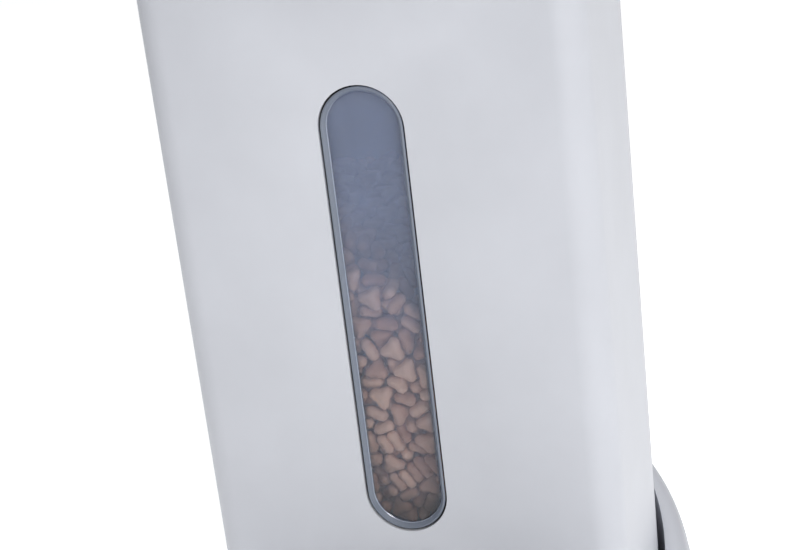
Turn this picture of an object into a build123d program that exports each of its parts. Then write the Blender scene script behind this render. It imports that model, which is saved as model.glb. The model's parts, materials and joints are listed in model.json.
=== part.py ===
"""Automatic pet feeder: a tower with a food tank, a metering wheel and a bowl on a flared base."""

import os
from math import cos, radians, sin

from build123d import *

# Driving dimensions, in millimetres. The origin is on the floor under the middle of the footprint,
# +Z is up and -Y is the front, where the bowl is.
TOWER_HALF = 97.0
TOWER_STRAIGHT = 80.0
FRONT = -36.0
CENTRE = FRONT + TOWER_STRAIGHT
CORNER = 14.0
WALL = 2.5
FLOOR_GAP = 2.5
PLATE = 3.0
BASE_LOW = FLOOR_GAP + PLATE
DECK = 46.0
TOWER_TOP = 384.0

# The base flares outwards to the floor. Each pair is a height and how far it stands out of the tower.
FLARE = ((BASE_LOW, 24.5), (55.0, 17.5), (132.0, 5.0))
BASE_FRONT = -165.5
BASE_CORNER = 58.0
COLLAR_GAP = 3.5
RIM_START = FRONT + 50.0
RIM_SLOPE = 0.62
RIM_ROUND = 10.0

WINDOW_WIDTH = 38.0
WINDOW_LENGTH = 209.0
WINDOW_MIDDLE = 234.5

TANK_HALF = TOWER_HALF - WALL - 0.9
TANK_FRONT = FRONT + 5.0
TANK_WALL = 2.0
TANK_TOP = TOWER_TOP + 4.0
FUNNEL_TOP = 185.0
FUNNEL_LOW = 124.0
FILL_LEFT = 279.0
FILL_RIGHT = 219.0

WHEEL_Y = FRONT + 62.0
WHEEL_RADIUS = 42.6
DRUM_INNER = 43.4
DRUM_OUTER = 46.4
DRUM_FLOOR = 96.0
DRUM_TOP = 122.5
SHAFT = 3.0

GEAR_TEETH = 24
PINION_TEETH = 12
GEAR_PITCH = GEAR_TEETH / 2
PINION_PITCH = PINION_TEETH / 2
PINION_Y = WHEEL_Y + GEAR_PITCH + PINION_PITCH
GEAR_LOW = 85.0

PANEL_WIDTH = 96.0
PANEL_HEIGHT = 20.0
PANEL_Z = 102.0
BUTTONS = {"button_set": 4.0, "button_lock": 18.0, "button_feed": 32.0}
BUTTON_RADIUS = 4.6

CHUTE_HALF = 28.0
CHUTE_WALL = 2.0
MOUTH_Z = 69.0
MOUTH_HEIGHT = 33.0

BOWL_Y = FRONT - 65.0
BOWL_RIM = 57.0
BOWL_DEPTH = 36.0
TRAY_BACK = FRONT - 2.6

LID_LOW = TANK_TOP + 0.4
LID_TOP = 404.0
HINGE_Y = CENTRE + TOWER_HALF + 5.0
HINGE_Z = 390.5
KNUCKLE = 4.0
ARMS = (-19.0, 19.0)
FLANGE = 3.7

CELL_RADIUS = 16.6
CELL_LENGTH = 61.0
CELL_Z = 24.0
CELLS_Y = [FRONT + 62.0 + 34.4 * step for step in range(3)]
BAY_HALF = 37.0
BAY_FRONT = FRONT + 41.0
BAY_BACK = FRONT + 151.0

WELL = BOWL_RIM - 2.8
LATCH_Y = FRONT + 22.0
VANE_LOW = DRUM_FLOOR + WALL + 0.5
VANE_HIGH = 120.2
GEARBOX_TOP = 81.8
FLAP_Y = FRONT - 0.6
FLAP_Z = 78.0
LIGHT_X = 42.5
DISPLAY_X = -24.0
BOARD_Y = FRONT + 10.0
INLET_Y = CENTRE + TOWER_HALF + 21.6
INLET_Z = 20.0
SCREWS = ((-88.0, 0.0), (88.0, 0.0), (-80.0, 95.0), (80.0, 95.0))
FEET = ((-85.0, -95.0), (85.0, -95.0), (-98.0, 50.0), (98.0, 50.0), (-52.0, 138.0), (52.0, 138.0))

UPWARDS = (Align.CENTER, Align.CENTER, Align.MIN)
DOWNWARDS = (Align.CENTER, Align.CENTER, Align.MAX)

os.makedirs("parts", exist_ok=True)


def save(builder, name):
    """Labels a finished piece and writes it."""
    builder.part.label = name
    export_step(builder.part, f"parts/{name}.step")


def d_outline(height, half, front, corner, centre=CENTRE):
    """Draws a flat front, straight sides and a half-round back on a level plane."""
    with BuildSketch(Plane.XY.offset(height)) as outline:
        with BuildLine():
            Polyline((half, centre), (half, front), (-half, front), (-half, centre))
            CenterArc((0, centre), half, 0, 180)
        make_face()
        fillet(outline.vertices().group_by(Axis.Y)[0], corner)
    return outline.sketch


def tower_outline(height, grow):
    """Draws the tower's plan, grown outwards by grow."""
    return d_outline(height, TOWER_HALF + grow, FRONT - grow, CORNER + grow)


def flared_block(shrink, low=BASE_LOW):
    """Lofts the outside of the base, drawn in by shrink."""
    sections = []
    for height, grow in FLARE:
        level = low if height == BASE_LOW else height
        front = BASE_FRONT + 0.3 * (FLARE[0][1] - grow) + shrink
        sections.append(d_outline(level, TOWER_HALF + grow - shrink, front, BASE_CORNER - shrink))
    loft(sections)


def cut_above_rim(drop):
    """Cuts away what is above the deck and the sloping rim of the collar, lowered by drop."""
    far = 260.0
    high = 420.0
    deck = DECK - drop
    with BuildSketch(Plane.YZ) as side:
        with BuildLine():
            Polyline(
                (-far, deck),
                (RIM_START, deck),
                (far, deck + RIM_SLOPE * (far - RIM_START)),
                (far, high),
                (-far, high),
                close=True,
            )
        make_face()
        fillet(side.vertices().sort_by_distance((RIM_START, deck, 0))[0], 40.0)
    extrude(side.sketch, amount=far, both=True, mode=Mode.SUBTRACT)


def curved_edges(faces):
    """The outer edges of the top of the base, without its straight seams."""
    return ShapeList(edge for face in faces for edge in face.edges() if edge.geom_type != GeomType.LINE)


def plate_outline(height):
    """Draws the floor plate, a little inside the foot of the base."""
    return d_outline(height, TOWER_HALF + 22.0, BASE_FRONT + 2.5, BASE_CORNER - 2.5)


def tank_outline(height, shrink):
    """Draws the tank's plan, drawn in by shrink."""
    return d_outline(height, TANK_HALF - shrink, TANK_FRONT + shrink, 11.0 - shrink)


def neck_outline(height, shrink):
    """Draws the round mouth at the foot of the funnel, drawn in by shrink."""
    half = DRUM_OUTER - 1.2 - shrink
    return d_outline(height, half, WHEEL_Y - half, half - 1.5, WHEEL_Y)


def side_profile(points):
    """Draws a closed outline on the middle plane, from places behind the front and heights."""
    with BuildSketch(Plane.YZ) as side:
        with BuildLine():
            Polyline(*[(FRONT + back, height) for back, height in points], close=True)
        make_face()
    return side.sketch


def sector(height, inner, outer, spread):
    """Draws a part of a ring around the wheel, spread degrees to each side of the front."""
    with BuildSketch(Plane.XY.offset(height)) as ring:
        with Locations((0, WHEEL_Y)):
            Circle(outer)
            Circle(inner, mode=Mode.SUBTRACT)
        reach = 2 * outer * sin(radians(spread))
        away = 2 * outer * cos(radians(spread))
        with BuildLine():
            Polyline((0, WHEEL_Y), (-reach, WHEEL_Y - away), (reach, WHEEL_Y - away), close=True)
        make_face(mode=Mode.INTERSECT)
    return ring.sketch


def front_plane(y):
    """A plane that faces the front, with local X to the right and local Y up."""
    return Plane(origin=(0, y, 0), x_dir=(1, 0, 0), z_dir=(0, -1, 0))


def pill(y, width, length, middle, turned=90.0):
    """Draws a round-ended slot on the front, long upwards unless turned is 0."""
    with BuildSketch(front_plane(y)) as slot:
        with Locations((0, middle)):
            SlotOverall(length, width, rotation=turned)
    return slot.sketch


def gear_outline(y, height, teeth, turn):
    """Draws a spur gear of module 1 with straight-sided teeth and some backlash."""
    pitch = teeth / 2
    step = 360 / teeth
    points = []
    for tooth in range(teeth):
        middle = turn + tooth * step
        for radius, share in ((-1.15, -0.27), (0.85, -0.13), (0.85, 0.13), (-1.15, 0.27)):
            angle = radians(middle + share * step)
            points.append(((pitch + radius) * cos(angle), y + (pitch + radius) * sin(angle)))
    with BuildSketch(Plane.XY.offset(height)) as gear:
        with BuildLine():
            Polyline(*points, close=True)
        make_face()
    return gear.sketch


# The two shells of the tower and base.
with BuildPart() as tower_shell:
    extrude(tower_outline(DECK, 0), amount=TOWER_TOP - DECK)
    extrude(tower_outline(DECK, -WALL), amount=TOWER_TOP - DECK, mode=Mode.SUBTRACT)
    extrude(pill(FRONT - 1, WINDOW_WIDTH, WINDOW_LENGTH, WINDOW_MIDDLE), amount=-WALL - 2, mode=Mode.SUBTRACT)
    recess = pill(FRONT, PANEL_HEIGHT + 0.4, PANEL_WIDTH + 0.4, PANEL_Z, turned=0)
    extrude(recess, amount=-1.4, mode=Mode.SUBTRACT)
    with BuildSketch(front_plane(FRONT - 1)):
        with Locations((DISPLAY_X, PANEL_Z)):
            Rectangle(32, 12)
        with Locations(*[(x, PANEL_Z) for x in BUTTONS.values()]):
            Circle(BUTTON_RADIUS + 0.4)
        with Locations((LIGHT_X, PANEL_Z)):
            Circle(1.7)
        with Locations((0, MOUTH_Z)):
            RectangleRounded(2 * CHUTE_HALF + 0.6, MOUTH_HEIGHT, 3)
    extrude(amount=-WALL - 2, mode=Mode.SUBTRACT)
    with BuildSketch(front_plane(BOARD_Y)):
        with GridLocations(98, 20, 2, 2):
            with Locations((0, PANEL_Z)):
                Circle(2.2)
    extrude(amount=BOARD_Y - FRONT - WALL)
save(tower_shell, "tower_shell")

with BuildPart() as base_cavity:
    flared_block(2.6, BASE_LOW - 1)
    cut_above_rim(6)
    inner = tower_outline(DECK - WALL, COLLAR_GAP + 2.6)
    extrude(inner, amount=120, mode=Mode.SUBTRACT)
    extrude(tower_outline(BASE_LOW, -6), amount=DECK - WALL - BASE_LOW)
    with Locations((0, FRONT - 99.5, 80)):
        Box(300, 200, 200, mode=Mode.SUBTRACT)

with BuildPart() as base_shell:
    flared_block(0)
    cut_above_rim(0)
    with Locations((0, FRONT - 102, 80)):
        Box(300, 200, 200, mode=Mode.SUBTRACT)
    upper = base_shell.faces().filter_by(lambda face: face.normal_at().Z > 0.5)
    fillet(curved_edges(upper), RIM_ROUND)
    add(base_cavity.part, mode=Mode.SUBTRACT)
    extrude(tower_outline(DECK, COLLAR_GAP), amount=120, mode=Mode.SUBTRACT)
    with Locations((0, INLET_Y, INLET_Z)):
        Box(10.6, 40, 8.6, mode=Mode.SUBTRACT)
    with Locations(*[(x, y, BASE_LOW) for x, y in SCREWS]):
        Cylinder(4.0, DECK - WALL - BASE_LOW, align=UPWARDS)
        Cylinder(1.5, 16, align=UPWARDS, mode=Mode.SUBTRACT)
save(base_shell, "base_shell")

with BuildPart() as base_plate:
    extrude(plate_outline(FLOOR_GAP), amount=PLATE)
    with Locations((0, BAY_FRONT + 100, FLOOR_GAP)):
        Box(78, 200, 20, mode=Mode.SUBTRACT)
    with Locations((-70, -92, BASE_LOW), (70, -92, BASE_LOW)):
        Box(6, 96, 3, align=UPWARDS)
    with Locations(*[Location((x, y, FLOOR_GAP), (180, 0, 0)) for x, y in SCREWS]):
        CounterBoreHole(1.7, 3.2, 1.8, depth=PLATE)
save(base_plate, "base_plate")

with BuildPart() as battery_door:
    extrude(plate_outline(FLOOR_GAP), amount=PLATE - 0.4)
    with Locations((0, BAY_FRONT + 100.4, FLOOR_GAP)):
        Box(77.2, 200, 20, mode=Mode.INTERSECT)
    with Locations(*[(0, 132 + 4 * step, FLOOR_GAP) for step in range(5)]):
        Box(34, 1.6, 1.2, mode=Mode.SUBTRACT)
save(battery_door, "battery_door")

with BuildPart() as rubber_feet:
    with Locations(*[(x, y, 0) for x, y in FEET]):
        Cylinder(9.0, FLOOR_GAP, align=UPWARDS)
    chamfer(rubber_feet.edges().group_by(Axis.Z)[0], 0.6)
save(rubber_feet, "rubber_feet")

with BuildPart() as base_screws:
    with Locations(*[(x, y, FLOOR_GAP + 0.2) for x, y in SCREWS]):
        Cylinder(3.0, 1.6, align=UPWARDS)
        Cylinder(1.5, 14, align=UPWARDS)
save(base_screws, "base_screws")

# The pull-out front with its bowl.
with BuildPart() as tray_cavity:
    flared_block(2.6, BASE_LOW - 1)
    cut_above_rim(6)
    with Locations((0, TRAY_BACK + 147.5, 80)):
        Box(300, 300, 200, mode=Mode.SUBTRACT)
    with Locations((0, BOWL_Y, 0)):
        Cylinder(WELL + 2, 80, mode=Mode.SUBTRACT)

with BuildPart() as bowl_tray:
    flared_block(0, BASE_LOW + 0.4)
    cut_above_rim(0)
    with Locations((0, TRAY_BACK + 150, 80)):
        Box(300, 300, 200, mode=Mode.SUBTRACT)
    fillet(curved_edges(bowl_tray.faces().filter_by(lambda face: face.normal_at().Z > 0.5)), RIM_ROUND)
    add(tray_cavity.part, mode=Mode.SUBTRACT)
    with Locations((0, BOWL_Y, BASE_LOW + 2.9)):
        Cylinder(WELL, 60, align=UPWARDS, mode=Mode.SUBTRACT)
    with Locations((-70, TRAY_BACK, BASE_LOW), (70, TRAY_BACK, BASE_LOW)):
        Box(7, 10, 7, mode=Mode.SUBTRACT)
save(bowl_tray, "bowl_tray")

with BuildPart() as bowl:
    foot = BASE_LOW + 3.3
    brim = DECK + 0.4
    with BuildSketch(Plane.XZ.offset(-BOWL_Y)) as section:
        with BuildLine():
            Polyline(
                (0, foot),
                (40, foot),
                (BOWL_RIM - 4, brim - 5),
                (BOWL_RIM - 4, brim),
                (BOWL_RIM, brim),
                (BOWL_RIM, brim + 1.0),
                (BOWL_RIM - 4.8, brim + 1.0),
                (BOWL_RIM - 4.8, brim - 5),
                (39.4, foot + 0.8),
                (0, foot + 0.8),
                close=True,
            )
        make_face()
        fillet(section.vertices().sort_by_distance((40, foot, 0))[0], 10.0)
        fillet(section.vertices().sort_by_distance((39.4, foot + 0.8, 0))[0], 9.2)
    revolve(axis=Axis((0, BOWL_Y, 0), (0, 0, 1)))
save(bowl, "bowl")

# The window in the tower.
with BuildPart() as window_lens:
    face = FRONT + 1.0
    extrude(pill(face, WINDOW_WIDTH - 0.6, WINDOW_LENGTH - 0.6, WINDOW_MIDDLE), amount=-2.0)
    bead = WINDOW_WIDTH - 7.0
    length = WINDOW_LENGTH - 7.0
    extrude(pill(face, bead, length, WINDOW_MIDDLE), amount=0.4)
    inside = pill(face - 0.4, bead - 1.4, length - 1.4, WINDOW_MIDDLE)
    extrude(inside, amount=-1.1, mode=Mode.SUBTRACT)
    extrude(pill(FRONT + WALL, WINDOW_WIDTH + 6, WINDOW_LENGTH + 6, WINDOW_MIDDLE), amount=-1.2)
save(window_lens, "window_lens")

with BuildPart() as window_gasket:
    extrude(pill(FRONT + WALL, WINDOW_WIDTH + 9, WINDOW_LENGTH + 9, WINDOW_MIDDLE), amount=-1.4)
    hole = pill(FRONT + WALL, WINDOW_WIDTH + 6, WINDOW_LENGTH + 6, WINDOW_MIDDLE)
    extrude(hole, amount=-1.4, mode=Mode.SUBTRACT)
save(window_gasket, "window_gasket")

# The food tank hangs in the tower by its flange and lifts out with the lid.
with BuildPart() as food_tank:
    extrude(tank_outline(FUNNEL_TOP, 0), amount=TANK_TOP - FUNNEL_TOP)
    extrude(tower_outline(TANK_TOP - FLANGE, 0), amount=FLANGE)
    loft([tank_outline(FUNNEL_TOP, 0), neck_outline(FUNNEL_LOW, 0)])
    extrude(tank_outline(FUNNEL_TOP, TANK_WALL), amount=TANK_TOP - FUNNEL_TOP, mode=Mode.SUBTRACT)
    loft([tank_outline(FUNNEL_TOP, TANK_WALL), neck_outline(FUNNEL_LOW, TANK_WALL)], mode=Mode.SUBTRACT)
    with Locations(*[(x, HINGE_Y - 4.3, TANK_TOP - FLANGE / 2) for x in ARMS]):
        Box(9.6, 8.6, FLANGE)
    with Locations(*[Location((x, HINGE_Y, HINGE_Z), (0, 90, 0)) for x in ARMS]):
        Cylinder(KNUCKLE, 9.6)
    with Locations(Location((0, HINGE_Y, HINGE_Z), (0, 90, 0))):
        Cylinder(2.0, 60, mode=Mode.SUBTRACT)
save(food_tank, "food_tank")

with BuildPart() as kibble:
    low = d_outline(FUNNEL_LOW + 22, 59.3, FRONT + 16, 28, CENTRE - 11.5)
    loft([tank_outline(FUNNEL_TOP, TANK_WALL + 0.8), low])
    extrude(tank_outline(FUNNEL_TOP, TANK_WALL + 0.8), amount=110)
    with BuildSketch(Plane.XZ) as above:
        with BuildLine():
            Polyline((-120, FILL_LEFT), (120, FILL_RIGHT), (120, 400), (-120, 400), close=True)
        make_face()
    extrude(above.sketch, amount=200, both=True, mode=Mode.SUBTRACT)
save(kibble, "kibble")

with BuildPart() as hinge_pin:
    with Locations(Location((0, HINGE_Y, HINGE_Z), (0, 90, 0))):
        Cylinder(2.0, 49.0)
save(hinge_pin, "hinge_pin")

# The lid.
with BuildPart() as lid_shell:
    extrude(tower_outline(LID_LOW, 0), amount=LID_TOP - LID_LOW)
    fillet(lid_shell.faces().sort_by(Axis.Z)[-1].edges(), 6.0)
    extrude(tower_outline(LID_LOW, -WALL), amount=LID_TOP - LID_LOW - WALL, mode=Mode.SUBTRACT)
    with Locations((0, HINGE_Y - 4, LID_LOW + 2.6)):
        Box(27.4, 7, 4.6)
    with Locations(Location((0, HINGE_Y, HINGE_Z), (0, 90, 0))):
        Cylinder(KNUCKLE, 27.4)
        Cylinder(2.1, 40, mode=Mode.SUBTRACT)
    with BuildSketch(Plane.XY.offset(LID_TOP - 6)):
        with Locations((0, LATCH_Y)):
            SlotOverall(28, 14)
    extrude(amount=10, mode=Mode.SUBTRACT)
save(lid_shell, "lid_shell")

with BuildPart() as lid_liner:
    extrude(tower_outline(LID_LOW + 0.4, -WALL - 0.3), amount=1.8)
    extrude(tank_outline(TANK_TOP - 4.4, TANK_WALL + 1.8), amount=5.4)
    extrude(tank_outline(TANK_TOP - 4.4, TANK_WALL + 3.8), amount=5.2, mode=Mode.SUBTRACT)
save(lid_liner, "lid_liner")

with BuildPart() as lid_seal:
    extrude(tank_outline(TANK_TOP - 3.4, TANK_WALL + 0.4), amount=2.6)
    extrude(tank_outline(TANK_TOP - 3.4, TANK_WALL + 1.8), amount=2.6, mode=Mode.SUBTRACT)
save(lid_seal, "lid_seal")

with BuildPart() as lid_button:
    with BuildSketch(Plane.XY.offset(LID_TOP - 3)):
        with Locations((0, LATCH_Y)):
            SlotOverall(27.2, 13.2)
    extrude(amount=3.7)
    fillet(lid_button.edges().group_by(Axis.Z)[-1], 1.2)
    with BuildSketch(Plane.XY.offset(LID_TOP - 5)):
        with Locations((0, LATCH_Y)):
            SlotOverall(32, 18)
    extrude(amount=2.1)
    with Locations((0, LATCH_Y, LID_TOP - 6)):
        Cylinder(5.2, 5, align=UPWARDS, mode=Mode.SUBTRACT)
save(lid_button, "lid_button")

with BuildPart() as latch_spring:
    with BuildLine():
        coil = Helix(pitch=2.2, height=8.8, radius=4.0, center=(0, LATCH_Y, LID_LOW + 2.8))
    with BuildSketch(Plane(origin=coil @ 0, z_dir=coil % 0)):
        Circle(0.45)
    sweep(is_frenet=True)
save(latch_spring, "latch_spring")

with BuildPart() as desiccant_cup:
    with Locations((0, CENTRE, LID_LOW - 14.4)):
        Cylinder(32, 14.8, align=UPWARDS)
        Cylinder(30.4, 13.4, align=UPWARDS, mode=Mode.SUBTRACT)
save(desiccant_cup, "desiccant_cup")

with BuildPart() as desiccant_cover:
    with Locations((0, CENTRE, LID_LOW - 17.2)):
        Cylinder(32, 2.4, align=UPWARDS)
    with BuildSketch(Plane.XY.offset(LID_LOW - 18)):
        with Locations((0, CENTRE)):
            with GridLocations(0, 6, 1, 7):
                SlotOverall(36, 2.4)
    extrude(amount=6, mode=Mode.SUBTRACT)
save(desiccant_cover, "desiccant_cover")

# The metering drum, its wheel and the drive.
with BuildPart() as dispenser_housing:
    with Locations((0, WHEEL_Y, DRUM_FLOOR)):
        Cylinder(DRUM_OUTER, DRUM_TOP - DRUM_FLOOR, align=UPWARDS)
    with Locations((0, WHEEL_Y, DRUM_FLOOR + WALL)):
        Cylinder(DRUM_INNER, 60, align=UPWARDS, mode=Mode.SUBTRACT)
    extrude(sector(DRUM_TOP - 1.6, 10, DRUM_INNER + 1, 34), amount=1.6)
    extrude(sector(DRUM_FLOOR - 1, 16.5, 42.6, 27), amount=6, mode=Mode.SUBTRACT)
    with Locations((0, WHEEL_Y, DRUM_FLOOR - 1)):
        Cylinder(SHAFT + 0.05, 6, align=UPWARDS, mode=Mode.SUBTRACT)
    with Locations((0, WHEEL_Y, DECK)):
        with PolarLocations(50, 4, 45):
            Cylinder(4.5, DRUM_FLOOR + 6 - DECK, align=UPWARDS)
save(dispenser_housing, "dispenser_housing")

with BuildPart() as food_wheel:
    with Locations((0, WHEEL_Y, VANE_LOW)):
        Cylinder(10, VANE_HIGH - VANE_LOW, align=UPWARDS)
    with BuildSketch(Plane.XY.offset(VANE_LOW)):
        with Locations((0, WHEEL_Y)):
            with PolarLocations(25, 6):
                Rectangle(31, 2.4)
    extrude(amount=VANE_HIGH - VANE_LOW)
    with Locations((0, WHEEL_Y, VANE_LOW)):
        Cylinder(SHAFT, 60, mode=Mode.SUBTRACT)
save(food_wheel, "food_wheel")

with BuildPart() as wheel_wipers:
    with BuildSketch(Plane.XY.offset(VANE_LOW)):
        with Locations((0, WHEEL_Y)):
            with PolarLocations(41.8, 6):
                Rectangle(2.6, 1.4)
    extrude(amount=VANE_HIGH - VANE_LOW)
save(wheel_wipers, "wheel_wipers")

with BuildPart() as wheel_shaft:
    with Locations((0, WHEEL_Y, GEAR_LOW - 2)):
        Cylinder(SHAFT, 52, align=UPWARDS)
save(wheel_shaft, "wheel_shaft")

with BuildPart() as agitator:
    with Locations((0, WHEEL_Y, VANE_HIGH)):
        Cylinder(8, 9.5, align=UPWARDS)
    with BuildSketch(Plane.XY.offset(VANE_HIGH + 5)):
        with Locations((0, WHEEL_Y)):
            with PolarLocations(17, 3):
                SlotOverall(26, 5)
    extrude(amount=3.5)
    with Locations((0, WHEEL_Y, VANE_HIGH - 5)):
        Cylinder(SHAFT, 30, align=UPWARDS, mode=Mode.SUBTRACT)
save(agitator, "agitator")

with BuildPart() as drive_gear:
    extrude(gear_outline(WHEEL_Y, GEAR_LOW, GEAR_TEETH, 7.5), amount=6.5)
    with Locations((0, WHEEL_Y, GEAR_LOW)):
        Cylinder(SHAFT, 30, mode=Mode.SUBTRACT)
save(drive_gear, "drive_gear")

with BuildPart() as motor_pinion:
    extrude(gear_outline(PINION_Y, GEAR_LOW - 0.5, PINION_TEETH, 0), amount=7.5)
    with Locations((0, PINION_Y, GEAR_LOW)):
        Cylinder(2.0, 30, mode=Mode.SUBTRACT)
save(motor_pinion, "motor_pinion")

with BuildPart() as gearbox_shaft:
    with Locations((0, PINION_Y, GEARBOX_TOP - 5)):
        Cylinder(2.0, 17, align=UPWARDS)
save(gearbox_shaft, "gearbox_shaft")

with BuildPart() as gearbox:
    with Locations((0, PINION_Y + 5, GEARBOX_TOP - 13.8)):
        Box(34, 32, 13.8, align=UPWARDS)
    fillet(gearbox.edges().filter_by(Axis.Z), 3)
    with Locations((0, PINION_Y, GEARBOX_TOP)):
        Cylinder(5, 1.6, align=UPWARDS)
    with Locations((0, PINION_Y, GEARBOX_TOP - 5.3)):
        Cylinder(2.05, 20, align=UPWARDS, mode=Mode.SUBTRACT)
save(gearbox, "gearbox")

with BuildPart() as motor:
    with Locations((0, PINION_Y + 8, DECK + 1)):
        Cylinder(12, GEARBOX_TOP - 13.8 - DECK - 1, align=UPWARDS)
        Box(26, 18.6, 60, mode=Mode.INTERSECT)
    fillet(motor.edges().group_by(Axis.Z)[0], 1.2)
save(motor, "motor")

with BuildPart() as motor_bracket:
    with Locations((0, PINION_Y + 5, GEARBOX_TOP - 15.8)):
        Box(54, 34, 2, align=UPWARDS)
    with Locations((-26, PINION_Y + 5, DECK), (26, PINION_Y + 5, DECK)):
        Box(2, 34, GEARBOX_TOP - 15.8 - DECK, align=UPWARDS)
    with Locations((0, PINION_Y + 8, DECK)):
        Cylinder(12.2, 60, mode=Mode.SUBTRACT)
save(motor_bracket, "motor_bracket")

with BuildPart() as chute:
    outer = ((17, 95.8), (48, 95.8), (48, 92.3), (-3, 53), (-3, 82.5), (8, 84.5), (17, 91))
    inner = ((19, 97), (46, 97), (46, 93.3), (-5, 54), (-5, 80.2), (8.3, 82.6), (19, 91.2))
    extrude(side_profile(outer), amount=CHUTE_HALF, both=True)
    extrude(side_profile(inner), amount=CHUTE_HALF - CHUTE_WALL, both=True, mode=Mode.SUBTRACT)
    with Locations(Location((0, FLAP_Y, FLAP_Z), (0, 90, 0))):
        Cylinder(1.05, 54.6, mode=Mode.SUBTRACT)
save(chute, "chute")

with BuildPart() as chute_flap:
    with Locations((0, FLAP_Y, 58.8)):
        Box(51.2, 1.6, FLAP_Z - 58.8, align=UPWARDS)
    with Locations(Location((0, FLAP_Y, FLAP_Z), (0, 90, 0))):
        Cylinder(1.8, 51.2)
        Cylinder(1.0, 54.2)
save(chute_flap, "chute_flap")

with BuildPart() as chute_sensors:
    with Locations((-CHUTE_HALF - 2, FRONT + 14, 73), (CHUTE_HALF + 2, FRONT + 14, 73)):
        Box(4, 8, 8)
save(chute_sensors, "chute_sensors")

# The control panel and its board.
with BuildPart() as panel_lens:
    extrude(pill(FRONT, PANEL_HEIGHT, PANEL_WIDTH, PANEL_Z, turned=0), amount=-1.35)
    with BuildSketch(front_plane(FRONT - 1)):
        with Locations(*[(x, PANEL_Z) for x in BUTTONS.values()]):
            Circle(BUTTON_RADIUS + 0.3)
        with Locations((LIGHT_X, PANEL_Z)):
            Circle(1.4)
    extrude(amount=-4, mode=Mode.SUBTRACT)
save(panel_lens, "panel_lens")

with BuildPart() as display_module:
    with Locations((DISPLAY_X, FRONT + 5.7, PANEL_Z)):
        Box(30, 8.4, 10)
save(display_module, "display_module")

for name, x in BUTTONS.items():
    with BuildPart() as button:
        with BuildSketch(front_plane(FRONT - 0.9)):
            with Locations((x, PANEL_Z)):
                Circle(BUTTON_RADIUS)
        extrude(amount=-5.3)
        fillet(button.edges().group_by(Axis.Y)[0], 0.6)
        with BuildSketch(front_plane(FRONT + WALL + 0.3)):
            with Locations((x, PANEL_Z)):
                Circle(BUTTON_RADIUS + 1.2)
        extrude(amount=-1.2)
    save(button, name)

with BuildPart() as light_pipe:
    with BuildSketch(front_plane(FRONT)):
        with Locations((LIGHT_X, PANEL_Z)):
            Circle(1.3)
    extrude(amount=-9.9)
save(light_pipe, "light_pipe")

with BuildPart() as main_board:
    with Locations((0, BOARD_Y + 0.8, PANEL_Z)):
        Box(104, 1.6, 26)
    with Locations((-20, BOARD_Y + 2.4, PANEL_Z - 4), (26, BOARD_Y + 2.2, PANEL_Z - 5)):
        Box(14, 1.6, 12)
save(main_board, "main_board")

with BuildPart() as tact_switches:
    with BuildSketch(front_plane(BOARD_Y)):
        with Locations(*[(x, PANEL_Z) for x in BUTTONS.values()]):
            Rectangle(6, 6)
    extrude(amount=3.2)
    with BuildSketch(front_plane(BOARD_Y - 3)):
        with Locations(*[(x, PANEL_Z) for x in BUTTONS.values()]):
            Circle(1.6)
    extrude(amount=1.4)
save(tact_switches, "tact_switches")

with BuildPart() as speaker:
    with Locations((-75, FRONT + 62, DECK - WALL)):
        Cylinder(15, 3, align=DOWNWARDS)
        Cylinder(8, 7, align=DOWNWARDS)
save(speaker, "speaker")

# Power: the inlet, and three cells in case the mains fails.
with BuildPart() as power_inlet:
    with Locations((0, INLET_Y - 6.5, INLET_Z)):
        Box(10, 13, 8)
    with BuildSketch(Plane.XZ.offset(-INLET_Y - 1)):
        with Locations((0, INLET_Z)):
            RectangleRounded(8.9, 3.2, 1.5)
    extrude(amount=9, mode=Mode.SUBTRACT)
    with Locations((0, INLET_Y - 5, INLET_Z)):
        Box(6.7, 7, 0.7)
save(power_inlet, "power_inlet")

with BuildPart() as battery_box:
    with Locations((0, (BAY_FRONT + BAY_BACK) / 2, BASE_LOW)):
        Box(2 * BAY_HALF, BAY_BACK - BAY_FRONT, DECK - WALL - BASE_LOW - 0.4, align=UPWARDS)
        Box(2 * BAY_HALF - 3.2, BAY_BACK - BAY_FRONT - 3.2, DECK - WALL - BASE_LOW - 2, align=UPWARDS,
            mode=Mode.SUBTRACT)
save(battery_box, "battery_box")

with BuildPart() as batteries:
    with Locations(*[Location((0, y, CELL_Z), (0, 90, 0)) for y in CELLS_Y]):
        Cylinder(CELL_RADIUS, CELL_LENGTH - 2)
        Cylinder(4.8, CELL_LENGTH)
save(batteries, "batteries")

with BuildPart() as battery_contacts:
    with Locations(*[(side * (BAY_HALF - 2.0), y, CELL_Z) for side in (-1, 1) for y in CELLS_Y]):
        Box(0.6, 14, 14)
    spring = 3.6
    spring_x = (CELL_LENGTH + spring) / 2 + 0.8
    ends = [(side * spring_x, y, CELL_Z) for side in (-1, 1) for y in CELLS_Y]
    with Locations(*[Location(place, (0, 90, 0)) for place in ends]):
        Cylinder(4.0, spring)
save(battery_contacts, "battery_contacts")
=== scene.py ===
"""Automatic pet feeder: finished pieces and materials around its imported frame."""

import json
import math
import random

import bpy
from mathutils import Matrix, Vector


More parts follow.
